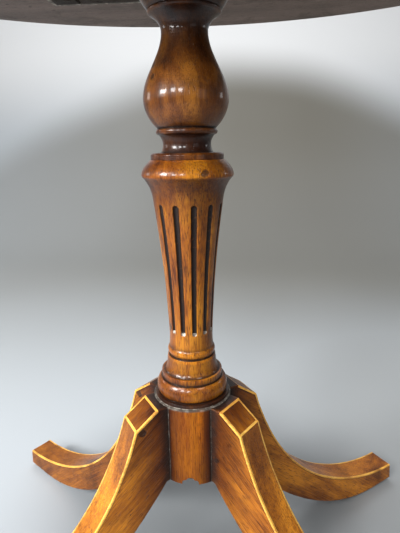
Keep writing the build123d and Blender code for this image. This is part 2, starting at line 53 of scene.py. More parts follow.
def straight(a, b, step=2.0):
    """Points of a straight cut from a to just before b."""
    count = max(1, math.ceil(math.dist(a, b) / step))
    return [tuple(p + (q - p) * i / count for p, q in zip(a, b)) for i in range(count)]


def moulding(a, b, middle, step=0.45):
    """Points of a round or hollow from a to b, struck through a middle point."""
    (ax, ay), (mx, my), (bx, by) = a, middle, b
    d = 2 * (ax * (my - by) + mx * (by - ay) + bx * (ay - my))
    sa, sm, sb = ax * ax + ay * ay, mx * mx + my * my, bx * bx + by * by
    cx = (sa * (my - by) + sm * (by - ay) + sb * (ay - my)) / d
    cy = (sa * (bx - mx) + sm * (ax - bx) + sb * (mx - ax)) / d
    radius = math.dist(a, (cx, cy))
    first, mid, last = (math.atan2(y - cy, x - cx) for x, y in (a, middle, b))
    turn = (last - first) % math.tau
    if (mid - first) % math.tau > turn:
        turn -= math.tau
    count = max(4, math.ceil(abs(turn) * radius / step))
    angles = [first + turn * i / count for i in range(count)]
    return [(cx + radius * math.cos(t), cy + radius * math.sin(t)) for t in angles]


def sweep(a, b, leaving, arriving, step=0.6):
    """Points of a free curve between two points with its direction given at both ends."""
    reach = math.dist(a, b)
    out = Vector(leaving).normalized() * reach
    home = Vector(arriving).normalized() * reach
    count = math.ceil(reach / step)
    points = []
    for i in range(count):
        t = i / count
        p = (2 * t**3 - 3 * t**2 + 1) * Vector(a) + (t**3 - 2 * t**2 + t) * out
        p += (3 * t**2 - 2 * t**3) * Vector(b) + (t**3 - t**2) * home
        points.append((p.x, p.y))
    return points


def struck(start, *cuts):
    """A turner's template: each cut says its kind of curve, the point it ends at and its own wants."""
    points, here = [], start
    for kind, end, *wants in cuts:
        points += kind(here, end, *wants)
        here = end
    return points + [here]


def eased(points, radius):
    """Round every crisp corner of a turner's template, as years of waxing do."""
    done = [points[0]]
    for before, here, after in zip(points, points[1:], points[2:]):
        one, two = Vector(here) - Vector(before), Vector(after) - Vector(here)
        if here[0] < 1 or one.length < 1e-6 or two.length < 1e-6 or one.angle(two) < 0.5:
            done.append(here)
            continue
        cut = min(radius, one.length * 0.45, two.length * 0.45)
        start, end = Vector(here) - one.normalized() * cut, Vector(here) + two.normalized() * cut
        for t in (0, 0.25, 0.5, 0.75, 1):
            p = (1 - t) ** 2 * start + 2 * t * (1 - t) * Vector(here) + t * t * end
            done.append((p.x, p.y))
    return done + [points[-1]]


def hollowness(points, window=3.2):
    """For each template point, how deep it lies in a hollow (+) or how proud it stands (-), in mm."""
    lengths = [0.0]
    for p, q in zip(points, points[1:]):
        lengths.append(lengths[-1] + math.dist(p, q))

    def at(s):
        s = min(max(s, 0), lengths[-1])
        k = next((i for i, length in enumerate(lengths) if length >= s), len(points) - 1)
        if k == 0:
            return Vector(points[0])
        share = (s - lengths[k - 1]) / max(lengths[k] - lengths[k - 1], 1e-9)
        return Vector(points[k - 1]).lerp(Vector(points[k]), share)

    depths = []
    for s, p in zip(lengths, points):
        low, high = at(s - window), at(s + window)
        way = high - low
        outward = Vector((-way.y, way.x)).normalized() if way.length > 1e-6 else Vector((1, 0))
        depths.append(((low + high) / 2 - Vector(p)).dot(outward))
    return depths


def paint(piece, **kept):
    """Keep values or vectors, one for each vertex, under names that a material can read."""
    for name, values in kept.items():
        if isinstance(values[0], tuple):
            layer = piece.data.attributes.new(name, "FLOAT_VECTOR", "POINT")
            layer.data.foreach_set("vector", [part for value in values for part in value])
        else:
            layer = piece.data.attributes.new(name, "FLOAT", "POINT")
            layer.data.foreach_set("value", values)


def stand(name, data):
    """A new object in the scene."""
    thing = bpy.data.objects.new(name, data)
    bpy.context.scene.collection.objects.link(thing)
    return thing


def make_piece(name, points, faces):
    """A new object from points in metres, with its faces looking outwards."""
    mesh = bpy.data.meshes.new(name)
    mesh.from_pydata(points, [], faces)
    form = bmesh.new()
    form.from_mesh(mesh)
    bmesh.ops.recalc_face_normals(form, faces=form.faces)
    form.to_mesh(mesh)
    form.free()
    mesh.polygons.foreach_set("use_smooth", [True] * len(mesh.polygons))
    return stand(name, mesh)


def stained(knots, height):
    """How far stain and painted shade darken a turning at a height, read off knots (height, amount)."""
    for (high, first), (low, second) in zip(knots, knots[1:]):
        if high >= height >= low:
            return first + (second - first) * (high - height) / (high - low)
    return 0


def turn(name, template, ways, knots, shape=None):
    """Turn a template (radius, height in mm) about the Z axis; ways are the angles of its columns.

    shape(angle number, radius, height) may move a point inwards: it gives angle, radius, recess, dust.
    """
    deepest, full_dirt, full_wear = 0.85, 1.5, 0.9          # dirt's limit, and depths in mm for both
    broad_wave, broad_push, fine_wave, fine_push = 34, 0.13, 160, 0.04
    patch_wave, patchy = 42, 0.4                            # how unevenly the stain and painted shade lie
    depths = hollowness(template)
    points, rows, recess, proud, dust, stains = [], [], [], [], [], []
    for (radius, height), depth in zip(template, depths):
        if radius < 1e-6:
            rows.append([len(points)])
            points.append((0, 0, height * MM))
            for values in (recess, proud, dust, stains):
                values.append(0)
            continue
        row = []
        stain = stained(knots, height)
        for k, way in enumerate(ways):
            r, sunk, dusty = radius, 0, 0
            if shape:
                way, r, sunk, dusty = shape(k, radius, height)
            place = Vector((math.cos(way) * r, math.sin(way) * r, height)) * MM
            r += broad_push * noise.noise(place * broad_wave) + fine_push * noise.noise(place * fine_wave)
            row.append(len(points))
            points.append((math.cos(way) * r * MM, math.sin(way) * r * MM, height * MM))
            stains.append(min(1, max(0, stain * (1 + patchy * noise.noise(place * patch_wave)))))
            recess.append(min(1, max(sunk, min(depth / full_dirt, deepest), 0)))
            proud.append(0 if sunk > 0.05 else min(1, max(0, -depth / full_wear)))
            dust.append(dusty)
        rows.append(row)
    faces = []
    for low, high in zip(rows, rows[1:]):
        for k in range(len(ways)):
            n = (k + 1) % len(ways)
            corners = [low[k % len(low)], low[n % len(low)], high[n % len(high)], high[k % len(high)]]
            faces.append(list(dict.fromkeys(corners)))
    piece = make_piece(name, points, faces)
    grain = [(z, x, y) for x, y, z in points]
    paint(piece, recess=recess, proud=proud, dust=dust, stain=stains, grain=grain)
    return piece


def put(tree, kind, inputs=None, **settings):
    """Place one shader node, set it up and wire what feeds it."""
    node = tree.nodes.new(kind)
    for key, value in settings.items():
        setattr(node, key, value)
    for key, value in (inputs or {}).items():
        if isinstance(value, bpy.types.NodeSocket):
            tree.links.new(value, node.inputs[key])
        else:
            node.inputs[key].default_value = value
    return node


def reckon(tree, operation, a, b=0.0, c=0.0, clamp=False):
    """One sum on two or three values."""
    return put(tree, "ShaderNodeMath", {0: a, 1: b, 2: c}, operation=operation, use_clamp=clamp).outputs[0]


def times(tree, a, b):
    """Product of two values."""
    return reckon(tree, "MULTIPLY", a, b)


def plus(tree, field, amount, base):
    """A base with an amount of a field added."""
    return reckon(tree, "MULTIPLY_ADD", field, amount, base)


def swayed(tree, base, field, amount):
    """A base pushed up or down by a noise field about its middle."""
    return plus(tree, reckon(tree, "SUBTRACT", field, 0.5), amount, base)


def blended(tree, share, a, b, how="MIX"):
    """Mix two colours."""
    node = put(tree, "ShaderNodeMix", {0: share, 6: a, 7: b}, data_type="RGBA", blend_type=how)
    return node.outputs[2]


def step_up(tree, value, low, high, low_out=0.0, high_out=1.0):
    """Smooth step of a value between two levels."""
    node = put(
        tree,
        "ShaderNodeMapRange",
        {"Value": value, "From Min": low, "From Max": high, "To Min": low_out, "To Max": high_out},
        interpolation_type="SMOOTHSTEP",
    )
    return node.outputs["Result"]


def speckle(tree, vector, scale, stretch=(1, 1, 1), detail=3.0, roughness=0.55, distortion=0.0):
    """Noise over a vector, stretched along an axis; scale is in waves for each metre."""
    moved = put(tree, "ShaderNodeVectorMath", {0: vector, 1: stretch}, operation="MULTIPLY").outputs[0]
    settings = {
        "Vector": moved,
        "Scale": scale,
        "Detail": detail,
        "Roughness": roughness,
        "Distortion": distortion,
    }
    return put(tree, "ShaderNodeTexNoise", settings).outputs["Fac"]


def new_group(name, takes, gives):
    """An empty shader node group. Each input's kind follows from its usual value, None for a vector."""
    tree = bpy.data.node_groups.new(name, "ShaderNodeTree")
    for label, usual in takes.items():
        kind = "Float"
        if usual is None:
            kind = "Vector"
        elif isinstance(usual, tuple):
            kind = "Color"
        socket = tree.interface.new_socket(label, in_out="INPUT", socket_type="NodeSocket" + kind)
        if usual is not None:
            socket.default_value = usual
    for label in gives:
        kind = "Color" if label == "Color" else "Float"
        tree.interface.new_socket(label, in_out="OUTPUT", socket_type="NodeSocket" + kind)
    return tree, tree.nodes.new("NodeGroupInput").outputs, tree.nodes.new("NodeGroupOutput").inputs


def give(tree, out, **values):
    """Wire a group's results to its outputs."""
    for label, value in values.items():
        tree.links.new(value, out[label])
    return tree


def wood_figure():
    """Colour of sawn and polished mahogany: broad ribbons, streaks, fine fibres and open pores."""
    takes = {"Grain": None, "Pale": (0.5, 0.25, 0.08, 1), "Middle": (0.3, 0.12, 0.04, 1)}
    takes.update({"Deep": (0.1, 0.03, 0.01, 1), "Ribbon": 0.5, "Fibre": 0.5, "Flecks": 0.7})
    tree, given, out = new_group("wood figure", takes, ("Color", "Pores"))
    grain = given["Grain"]
    broad = speckle(tree, grain, 9.0, (0.7, 3.4, 3.4), 2.0, 0.5, 0.6)
    streak = speckle(tree, grain, 110.0, (0.07, 2.0, 2.0), 4.0, 0.65, 0.5)
    fibre = speckle(tree, grain, 420.0, (0.06, 2.4, 2.4), 2.0, 0.6)
    ribbon = swayed(tree, 0.5, broad, given["Ribbon"])
    mottle = speckle(tree, grain, 34.0, (0.6, 1.0, 1.0), 3.0, 0.55)
    ribbon = swayed(tree, ribbon, mottle, 0.55)
    tone = swayed(tree, ribbon, streak, 0.42)
    fine = times(tree, reckon(tree, "SUBTRACT", fibre, 0.5), given["Fibre"])
    tone = reckon(tree, "ADD", tone, fine, clamp=True)
    colour = blended(tree, step_up(tree, tone, 0.22, 0.52), given["Deep"], given["Middle"])
    colour = blended(tree, step_up(tree, tone, 0.46, 0.78), colour, given["Pale"])
    pores = step_up(tree, speckle(tree, grain, 900.0, (0.11, 1.1, 1.1), 1.0, 0.5), 0.58, 0.68)
    colour = blended(tree, times(tree, pores, given["Flecks"]), colour, given["Deep"])
    return give(tree, out, Color=colour, Pores=pores)


def old_polish():
    """Two centuries of wax: dirt in the hollows, bright worn crests, blotches, bruises and dust.
    The stain input also carries painted shade, the proud input a painted highlight streak on the hub, and
    the dust input a painted edge highlight on the dark block and bearers.
    """
    black = (0.012, 0.006, 0.004, 1)
    takes = {"Place": None, "Color": black, "Dirt": black, "Recess": 0.0, "Proud": 0.0, "Dust": 0.0}
    takes.update({"Stain": 0.0, "Blotches": 0.5, "Bruises": 0.5, "Pores": 0.0, "Turned": 0.0})
    tree, given, out = new_group("old polish", takes, ("Color", "Roughness", "Height"))
    place = given["Place"]
    cloud = speckle(tree, place, 26.0, detail=4.0, roughness=0.6, distortion=0.4)
    grit = speckle(tree, place, 190.0, detail=3.0, roughness=0.6)
    blotch = times(tree, step_up(tree, cloud, 0.50, 0.72), given["Blotches"])
    settled = times(tree, given["Recess"], step_up(tree, grit, 0.25, 0.5, 0.75, 1.15))
    dirt = reckon(tree, "MAXIMUM", blotch, settled, clamp=True)
    spot_field = put(tree, "ShaderNodeTexVoronoi", {"Vector": place, "Scale": 42.0, "Randomness": 1.0})
    wander = speckle(tree, place, 150.0, detail=2.0)
    edge = plus(tree, wander, 0.16, spot_field.outputs["Distance"])
    picked = put(tree, "ShaderNodeSeparateColor", {0: spot_field.outputs["Color"]}).outputs[0]
    size = step_up(tree, picked, 0.5, 1.0, 0.0, 0.3)
    spot = step_up(tree, reckon(tree, "SUBTRACT", size, edge), -0.02, 0.03)
    spot = times(tree, spot, given["Bruises"])
    # Stain, and painted shade, multiply the wood towards this dark colour.
    stained_wood = blended(tree, 1.0, given["Color"], (0.2, 0.135, 0.125, 1), "MULTIPLY")
    colour = blended(tree, given["Stain"], given["Color"], stained_wood)
    colour = blended(tree, dirt, colour, given["Dirt"])
    colour = blended(tree, spot, colour, given["Dirt"])
    # Proud parts lighten where worn; on the hub the same input carries a painted highlight streak.
    wear_and_highlight = times(tree, given["Proud"], step_up(tree, grit, 0.35, 0.6, 0.2, 0.75))
    lifted = blended(tree, 0.2, colour, given["Color"])
    lifted = blended(tree, 1.0, lifted, (1.6, 1.5, 1.4, 1), "MULTIPLY")
    colour = blended(tree, wear_and_highlight, colour, lifted)
    # Pale dust; on the dark block and bearers the same input carries a painted edge highlight.
    dust_and_edge_highlight_share = times(tree, given["Dust"], step_up(tree, grit, 0.46, 0.6, 0.35, 1.0))
    colour = blended(tree, dust_and_edge_highlight_share, colour, (0.55, 0.5, 0.43, 1))
    sheen = plus(tree, grit, 0.14, 0.28)
    sheen = plus(tree, dirt, 0.16, sheen)
    sheen = plus(tree, dust_and_edge_highlight_share, 0.4, sheen)
    height = plus(tree, given["Pores"], -0.35, times(tree, grit, 0.35))
    height = plus(tree, spot, -0.8, height)
    height = plus(tree, cloud, 0.8, height)
    rings = speckle(tree, place, 800.0, (0.02, 0.02, 1.0), 2.0, 0.6)
    height = plus(tree, rings, given["Turned"], height)
    return give(tree, out, Color=colour, Roughness=sheen, Height=height)


FIGURE = wood_figure()
POLISH = old_polish()


def new_material(name):
    """A material with an empty node tree, its output and its Principled shader."""
    material = bpy.data.materials.new(name)
    material.use_nodes = True
    tree = material.node_tree
    tree.nodes.clear()
    shader = put(tree, "ShaderNodeBsdfPrincipled")
    put(tree, "ShaderNodeOutputMaterial", {"Surface": shader.outputs[0]})
    return material, tree, shader


def spot_on(tree):
    """Where a point lies, in metres."""
    return put(tree, "ShaderNodeTexCoord").outputs["Object"]


def axes(tree, place):
    """The three parts of a place."""
    return put(tree, "ShaderNodeSeparateXYZ", {0: place}).outputs


def read(tree, name, what="Fac"):
    """Value that a piece keeps for each of its vertices."""
    return put(tree, "ShaderNodeAttribute", attribute_name=name).outputs[what]


def bumped(tree, shader, height, depth):
    """Relief of a height in metres on the shader's Normal."""
    relief = put(tree, "ShaderNodeBump", {"Height": height, "Strength": 1.0, "Distance": depth})
    tree.links.new(relief.outputs["Normal"], shader.inputs["Normal"])


def mahogany(name, pale, middle, deep, **wants):
    """Polished old mahogany: a piece keeps its grain, and its wear, dirt, dust and stain if it has any;
    painted shade rides with the stain, and painted highlights with the wear and the dust.

    A want that is a function makes its value from the material's tree.
    """
    material, tree, shader = new_material(name)
    usual = {
        "ribbon": 0.9,
        "fibre": 0.6,
        "flecks": 0.7,
        "blotches": 0.6,
        "bruises": 0.8,
        "turned": 0.0,
        "dirt": (0.013, 0.006, 0.004),
        "specular": 0.16,
        "coat": 0.38,
        "coat_roughness": 0.12,
        "grain": lambda t: read(t, "grain", "Vector"),
        "place": spot_on,
    }
    for kept in ("recess", "proud", "dust", "stain"):
        usual[kept] = lambda t, kept=kept: read(t, kept)
    wants = {"pale": pale, "middle": middle, "deep": deep, **usual, **wants}

    def said(*labels):
        values = {}
        for label in labels:
            value = wants[label]
            if callable(value):
                value = value(tree)
            elif isinstance(value, tuple):
                value = (*value, 1)
            values[label.capitalize()] = value
        return values

    figure = said("pale", "middle", "deep", "grain", "ribbon", "fibre", "flecks")
    wood = put(tree, "ShaderNodeGroup", figure, node_tree=FIGURE)
    coats = said("place", "recess", "proud", "dust", "stain", "blotches", "bruises", "turned", "dirt")
    coats.update({"Color": wood.outputs["Color"], "Pores": wood.outputs["Pores"]})
    polish = put(tree, "ShaderNodeGroup", coats, node_tree=POLISH)
    tree.links.new(polish.outputs["Color"], shader.inputs["Base Color"])
    tree.links.new(polish.outputs["Roughness"], shader.inputs["Roughness"])
    shader.inputs["Specular IOR Level"].default_value = wants["specular"]
    shader.inputs["Coat Weight"].default_value = wants["coat"]
    shader.inputs["Coat Roughness"].default_value = wants["coat_roughness"]
    bumped(tree, shader, polish.outputs["Height"], 0.0006)
    return material


def finish_piece(piece, material, body, slot, *nodes):
    """Give a piece its material and its body, and hide the CAD nodes that it stands for. The slot is not
    used.
    """
    piece.data.materials.clear()
    piece.data.materials.append(material)
    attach(piece, body)
    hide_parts(*nodes)


block_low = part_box("tilt_block")[0]
vase_low, vase_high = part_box("column_vase")
shaft_low, shaft_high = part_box("column_shaft")
under = block_low.z / MM                        # underside of the tilt block
split = shaft_high.z / MM                       # joint between the two turnings
tenon_end = vase_high.z / MM
dowel_end = vase_low.z / MM
cap_radius = vase_high.x / MM
tenon_radius, dowel_radius = 18.0, 13.0
z_cap = under - 8.5
z_rim_top = z_cap - 19
z_rim = z_rim_top - 3.5
z_neck = z_rim - 14.5
z_belly = z_neck - 59
z_foot = z_belly - 27
z_ring = z_foot - 6
z_disc = z_ring - 17
rim, neck, belly, foot, ring, waist, disc = 34.2, 22.1, 41.5, 28.6, 30.4, 23.8, 36.5
cap_edge, rim_foot, bevel = cap_radius - 0.2, rim - 1.5, 1.6
vase_template = struck(
    (0, tenon_end),
    (straight, (tenon_radius, tenon_end), 9),
    (straight, (tenon_radius, under), 8),
    (straight, (cap_edge, under), 6),
    (straight, (cap_edge, z_cap), 1),
    (moulding, (rim, z_rim_top), ((cap_radius + rim) / 2 + 1.2, (z_cap + z_rim_top) / 2)),
    (moulding, (rim_foot, z_rim), (rim + 0.1, z_rim + 1.2)),
    (sweep, (neck, z_neck), (-1, -0.45), (0, -1)),
    (sweep, (belly, z_belly), (0, -1), (0, -1)),
    (sweep, (foot, z_foot), (0, -1), (-1, -0.9)),
    (moulding, (foot - 1, z_ring), (ring, (z_foot + z_ring) / 2)),
    (moulding, (foot - 2, z_disc), (waist, (z_ring + z_disc) / 2)),
    (straight, (disc - bevel, z_disc), 1),
    (straight, (disc, z_disc - bevel), 1),
    (straight, (disc, split), 1),
    (straight, (dowel_radius, split), 6),
    (straight, (dowel_radius, dowel_end), 14),
    (straight, (0, dowel_end), 7),
)
# Darkening by height: partly the turning's stain, partly painted shade under the table top at the cap, rim
# and neck, and in the waist above the disc.
vase_stain = (
    (under, 0.9), (z_cap, 0.8), (z_rim_top, 0.8), (z_rim, 0.9),
    (z_neck, 0.65), (z_neck - 16, 0.42), (z_neck - 36, 0.15), (z_foot + 12, 0.05),
    (z_foot, 0.45), (z_ring, 1.0), (z_disc, 1.0), (z_disc - 0.5, 0.75),
    (split, 0.9),
)
even_ways = [math.tau * k / 216 for k in range(216)]
vase = turn("turned_vase", eased(vase_template, 0.5), even_ways, vase_stain)
vase_wood = mahogany(
    "vase mahogany",
    (0.27, 0.1, 0.013), (0.13, 0.04, 0.006), (0.035, 0.009, 0.003),
    blotches=0.65,
    ribbon=1.1,
    fibre=0.35,
    flecks=0.3,
    turned=0.35,
)
finish_piece(vase, vase_wood, "base", "vase_mahogany", "column_vase")


# ------------------------------------------------------------------ column, lower half
# A second turning in more golden mahogany: round shoulder, hollow throat, a taper with twelve
# carved flutes, then beads, bell and torus. Its tenon goes down into the hub.
hub_low, hub_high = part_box("hub")
hub_top = hub_high.z / MM
shoulder, throat, taper_sweep, taper_foot = 46.4, 36.3, 25.6, 23.7
z_shoulder = split - 15
z_lip = z_shoulder - 2.2
z_throat = z_lip - 19.5
z_plinth = hub_top + 4.3
z_torus = z_plinth + 17.7
z_fillet = z_torus + 7.5
z_bell = z_fillet + 18.5
z_groove = z_bell + 2
z_astragal = z_groove + 8.5
z_taper = z_astragal + 13
tenon_foot = shaft_low.z / MM
socket_end, socket = dowel_end - 2, dowel_radius + 0.1
cut_foot, astragal, groove = 24.4, 26.0, 24.6
bell_head, bell_foot, fillet = 26.2, 31.2, 33.7
torus_head, torus, torus_foot, plinth = 35.4, 39.4, 37.4, 41.6
shaft_tenon = 15.0
flutes, flute_depth = 12, 2.7
flute_low, flute_high = z_taper + 7.0, z_throat - 8.7       # centres of the flutes' round ends
flute_low_half, flute_high_half = 2.5, 3.2


def taper(a, b, pull, count=300):
    """Points of the shaft's hollow taper, a quadratic sweep drawn in towards a smaller radius."""
    points = []
    for i in range(count):
        t = i / count
        radius = a[0] * (1 - t) ** 2 + 2 * pull * t * (1 - t) + b[0] * t * t
        points.append((radius, a[1] + (b[1] - a[1]) * t))
    return points


shaft_template = struck(
    (0, socket_end),
    (straight, (socket, socket_end), 7),
    (straight, (socket, split), 14),
    (straight, (disc + 0.4, split), 6),
    (sweep, (shoulder, z_shoulder), (1, -0.8), (0, -1)),
    (moulding, (shoulder - 1.2, z_lip), (shoulder - 0.3, (z_shoulder + z_lip) / 2)),
    (sweep, (throat, z_throat), (-1, -1.1), (-0.15, -1)),
    (taper, (taper_foot, z_taper), taper_sweep),
    (moulding, (cut_foot, z_astragal), (taper_foot + 0.2, (z_taper + z_astragal) / 2)),
    (moulding, (groove, z_groove), (astragal, (z_astragal + z_groove) / 2)),
    (straight, (groove, z_bell), 0.5),
    (straight, (bell_head, z_bell), 0.5),
    (sweep, (bell_foot, z_fillet), (0.25, -1), (1, -0.9)),
    (straight, (fillet, z_fillet), 0.6),
    (straight, (fillet, z_torus), 0.7),
    (straight, (torus_head, z_torus), 0.6),
    (moulding, (torus_foot, z_plinth), (torus, (z_torus + z_plinth) / 2)),
    (straight, (plinth, z_plinth), 0.6),
    (straight, (plinth, hub_top), 0.7),
    (straight, (shaft_tenon, hub_top), 6),
    (straight, (shaft_tenon, tenon_foot), 14),
    (straight, (0, tenon_foot), 7),
)
flute_spread = (0, 0.3, 0.55, 0.75, 0.89, 0.97, 1.0)         # columns from a flute's middle to its arris
land_spread = (0.05, 0.22, 0.45, 0.72, 1.0)                  # and from there to the middle of the land
half_period = [("flute", s) for s in flute_spread] + [("land", s) for s in land_spread]
period = [(-1, *step) for step in reversed(half_period[1:])] + [(1, *step) for step in half_period[:-1]]


def fluted(k, radius, height):
    """Place one column point, cut in where it lies in a flute; the twelve flutes have round ends."""
    number, (side, part, share) = k // len(period), period[k % len(period)]
    level = min(max(height, flute_low), flute_high)
    along = (level - flute_low) / (flute_high - flute_low)
    half = flute_low_half + (flute_high_half - flute_low_half) * along
    least_radius, worn, worn_reach, full_dirt = 20.0, 0.22, 0.14, 1.3
    around = max(radius, least_radius)
    arris = min(half / around, 0.8 * math.pi / flutes)
    turned = arris * share if part == "flute" else arris + (math.pi / flutes - arris) * share
    way = (number + 0.5) * math.tau / flutes + side * turned
    off = math.hypot(turned * around, height - level) / half
    if height > z_throat or height < z_taper:
        off = 9
    cut = flute_depth * (1 - off * off) ** 0.42 if off < 1 else worn * max(0, 1 - (off - 1) / worn_reach)
    sunk = min(1, cut / full_dirt) if off < 1 else 0
    dusty = 1.0 if off < 1 and height < flute_low + 0.5 else 0
    if height < hub_top + 1.2 and radius > 40:
        sunk, dusty = 1, 0.55
    elif height < z_plinth + 0.2 and radius > 37:
        sunk = 0.6
    return way, radius - cut, sunk, dusty


# Darkening by height: partly stain, partly painted shade in the throat under the shoulder and at the
# plinth's foot on the hub.
shaft_stain = (
    (split, 0.45), (split - 5, 0.45), (z_shoulder, 0.3), (z_lip, 0.7),
    (z_throat + 8, 0.8), (z_throat - 6, 0.5), (z_throat - 30, 0.05), (z_taper, 0.05),
    (z_astragal, 0.35), (z_bell, 0.45), (z_fillet + 5, 0.4), (z_fillet, 0.6),
    (z_plinth + 3, 0.5), (z_plinth, 1.0), (hub_top, 1.0),
)
turned_ways = range(len(period) * flutes)
shaft = turn("turned_shaft", eased(shaft_template, 0.45), turned_ways, shaft_stain, fluted)
shaft_wood = mahogany(
    "shaft mahogany",
    (0.46, 0.178, 0.011), (0.25, 0.074, 0.007), (0.065, 0.015, 0.004),
    blotches=0.5,
    turned=0.15,
    coat=0.32,
)
finish_piece(shaft, shaft_wood, "base", "shaft_mahogany", "column_shaft")


# ------------------------------------------------------------------ hub
# The block that takes the four legs' dovetails: a short mahogany cylinder with a shaped cut in
# its lower edge between the legs. Beside every leg it has dirt in the joint and a broader painted shade on
# its wall.
def fibres_along(axis):
    """Grain vector of a part that lies where it was made, with its fibres along an axis."""
    def vector(tree):
        place = spot_on(tree)
        if axis == "X":
            return place
        parts = axes(tree, place)
        order = {"Y": (1, 2, 0), "Z": (2, 0, 1)}[axis]
        return put(tree, "ShaderNodeCombineXYZ", {i: parts[k] for i, k in enumerate(order)}).outputs[0]
    return vector


leg_splay = math.radians(33.5)
leg_half = 18.0


def beside_legs(tree, reach, strength):
    """Dark where the hub's wall runs into a leg and round the foot of the column."""
    x, y, z = axes(tree, spot_on(tree))
    across = times(tree, reckon(tree, "ABSOLUTE", x), math.sin(leg_splay))
    back = times(tree, reckon(tree, "ABSOLUTE", y), math.cos(leg_splay))
    gap = reckon(tree, "ABSOLUTE", reckon(tree, "SUBTRACT", across, back))
    beside = step_up(tree, gap, leg_half * MM, leg_half * MM + reach, strength, 0.0)
    dark_foot_band = 0.003                                      # below the hub's top, in metres
    above = step_up(tree, z, hub_high.z - dark_foot_band, hub_high.z, 0.0, 0.9 * strength)
    return reckon(tree, "MAXIMUM", beside, above)


def soften(piece, width, segments=3):
    """Ease a carried-over part's arrises."""
    weld = piece.modifiers.new("one skin", "WELD")
    weld.merge_threshold = 0.000002
    bevel = piece.modifiers.new("eased arrises", "BEVEL")
    bevel.width = width
    bevel.segments = segments
    bevel.limit_method = "ANGLE"
    bevel.angle_limit = math.radians(40)
    bevel.harden_normals = False


def painted_highlight_streak(tree):
    """A painted highlight: a pale streak down the hub's front."""
    x, y, z = axes(tree, spot_on(tree))
    left_fade, right_fade = (0.006, 0.011), (0.014, 0.017)  # the streak's two sides, in metres
    across = times(tree, step_up(tree, x, *left_fade), step_up(tree, x, *right_fade, 1.0, 0.0))
    front = reckon(tree, "LESS_THAN", y, 0.0)
    high = step_up(tree, z, hub_low.z + 0.012, hub_high.z - 0.012)
    return times(tree, times(tree, across, front), high)


hub_wood = mahogany(
    "hub mahogany",
    (0.36, 0.115, 0.003), (0.22, 0.062, 0.003), (0.13, 0.028, 0.003),
    grain=fibres_along("Z"),
    recess=lambda tree: beside_legs(tree, 0.0035, 1.0),
    # Painted shade: a broad darkening of the hub's wall beside each leg and round the column's foot.
    stain=lambda tree: beside_legs(tree, 0.019, 1.0),
    # A painted highlight streak down the hub's front, carried in the proud input.
    proud=painted_highlight_streak,
    dust=lambda tree: beside_legs(tree, 0.0006, 0.3),
    blotches=0.35,
    bruises=0.1,
    coat=0.08,
)


def dress(name, material, width=0.0004):
    """New finish and eased arrises on a part carried over from the frame."""
    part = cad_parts[name]
    if part.data.materials:
        for number in range(len(part.material_slots)):
            part.material_slots[number].link = "OBJECT"
            part.material_slots[number].material = material
    else:
        part.data.materials.append(material)
    if width:
        soften(part, width)
    return part


dress("hub", hub_wood, 0.0005)


# ------------------------------------------------------------------ legs and boxwood lines
# Four sabre legs sawn from mahogany board, coped against the hub and held by dovetail tongues.
# Each has a canted panel at its head, framed by boxwood lines that run on down both upper
# arrises to the toe. The lines are let into rebates, flush with the wood.
hub_radius = hub_high.x / MM
hub_bottom = hub_low.z / MM
leg_top = hub_top - 0.6
panel_start = Vector((hub_radius + 7.6, leg_top))
panel_end = panel_start + Vector((26.5, -19.0))
toe_end, toe_foot, under_toe = Vector((347, 31)), Vector((350, 6)), Vector((322, 4))
upper_sweep = (panel_end, Vector((138.2, 47.3)), Vector((301, 26)), toe_end)
under_sweep = (Vector((hub_radius, hub_bottom)), Vector((94.6, 100)), Vector((200, -11)), under_toe)
line_wide, line_deep, line_gap = 2.6, 2.2, 0.03
ease, nip = 0.7, 0.29                           # rounding of an arris, and the share cut off its corner
edge_strip = 3.4                                # width of the worn and dirty strip along an arris
head_wax, side_wax, side_brown = 15, 14, 72     # how far dirt and stain reach out from the hub
tongue_in, tongue_head, tongue_tip, tongue_root = 14, 14.2, 10.9, 7.2
toe_share = 0.9                                 # of the upper sweep, above the underside's corner
root_share = 0.15                               # of the underside, below the head


def on_sweep(points, t):
    """Point and direction on a four-point sweep."""
    a, b, c, d = points
    u = 1 - t
    place = u**3 * a + 3 * u * u * t * b + 3 * u * t * t * c + t**3 * d
    way = u * u * (b - a) + 2 * u * t * (c - b) + t * t * (d - c)
    return place, way.normalized()


def leg_stations():
    """Sections from hub to toe: upper point, direction, under point, and what is cut there."""
    level, slope = Vector((1, 0)), (panel_end - panel_start).normalized()
    length = (panel_end - panel_start).length
    first_way = on_sweep(upper_sweep, 0)[1]
    upper = [(Vector((hub_radius + d, leg_top)), level, "plain") for d in (0, 1, 2.5, 4.5, 6.6, 7.2)]
    corner = (level + slope).normalized()
    upper += [(panel_start, corner, "plain"), (panel_start, corner, "cross")]
    for d, cut in ((0.5, "cross"), (line_wide, "cross"), (line_wide, "line")):
        upper.append((panel_start + slope * d, slope, cut))
    for k in range(1, 6):
        upper.append((panel_start + slope * (line_wide + (length - 2 * line_wide) * k / 6), slope, "line"))
    for d, cut in ((line_wide, "line"), (line_wide, "cross"), (0.5, "cross")):
        upper.append((panel_end - slope * d, slope, cut))
    corner = (slope + first_way).normalized()
    upper += [(panel_end, corner, "cross"), (panel_end, corner, "line")]
    head = len(upper)
    shares = [0.0015, 0.006, 0.015] + [0.03 + 0.97 * k / 64 for k in range(64)] + [0.998]
    upper += [(*on_sweep(upper_sweep, t), "line") for t in shares]
    stations = []
    for k, (place, way, cut) in enumerate(upper):
        if k < head:
            share = root_share * (place.x - hub_radius) / (panel_end.x - hub_radius)
            below = on_sweep(under_sweep, share)[0]
        else:
            share = shares[k - head] / toe_share
            if share < 1:
                below = on_sweep(under_sweep, root_share + (1 - root_share) * share)[0]
            else:
                below = under_toe.lerp(toe_foot, (share - 1) / (1 / toe_share - 1))
        stations.append((place, way, below, cut))
    return stations


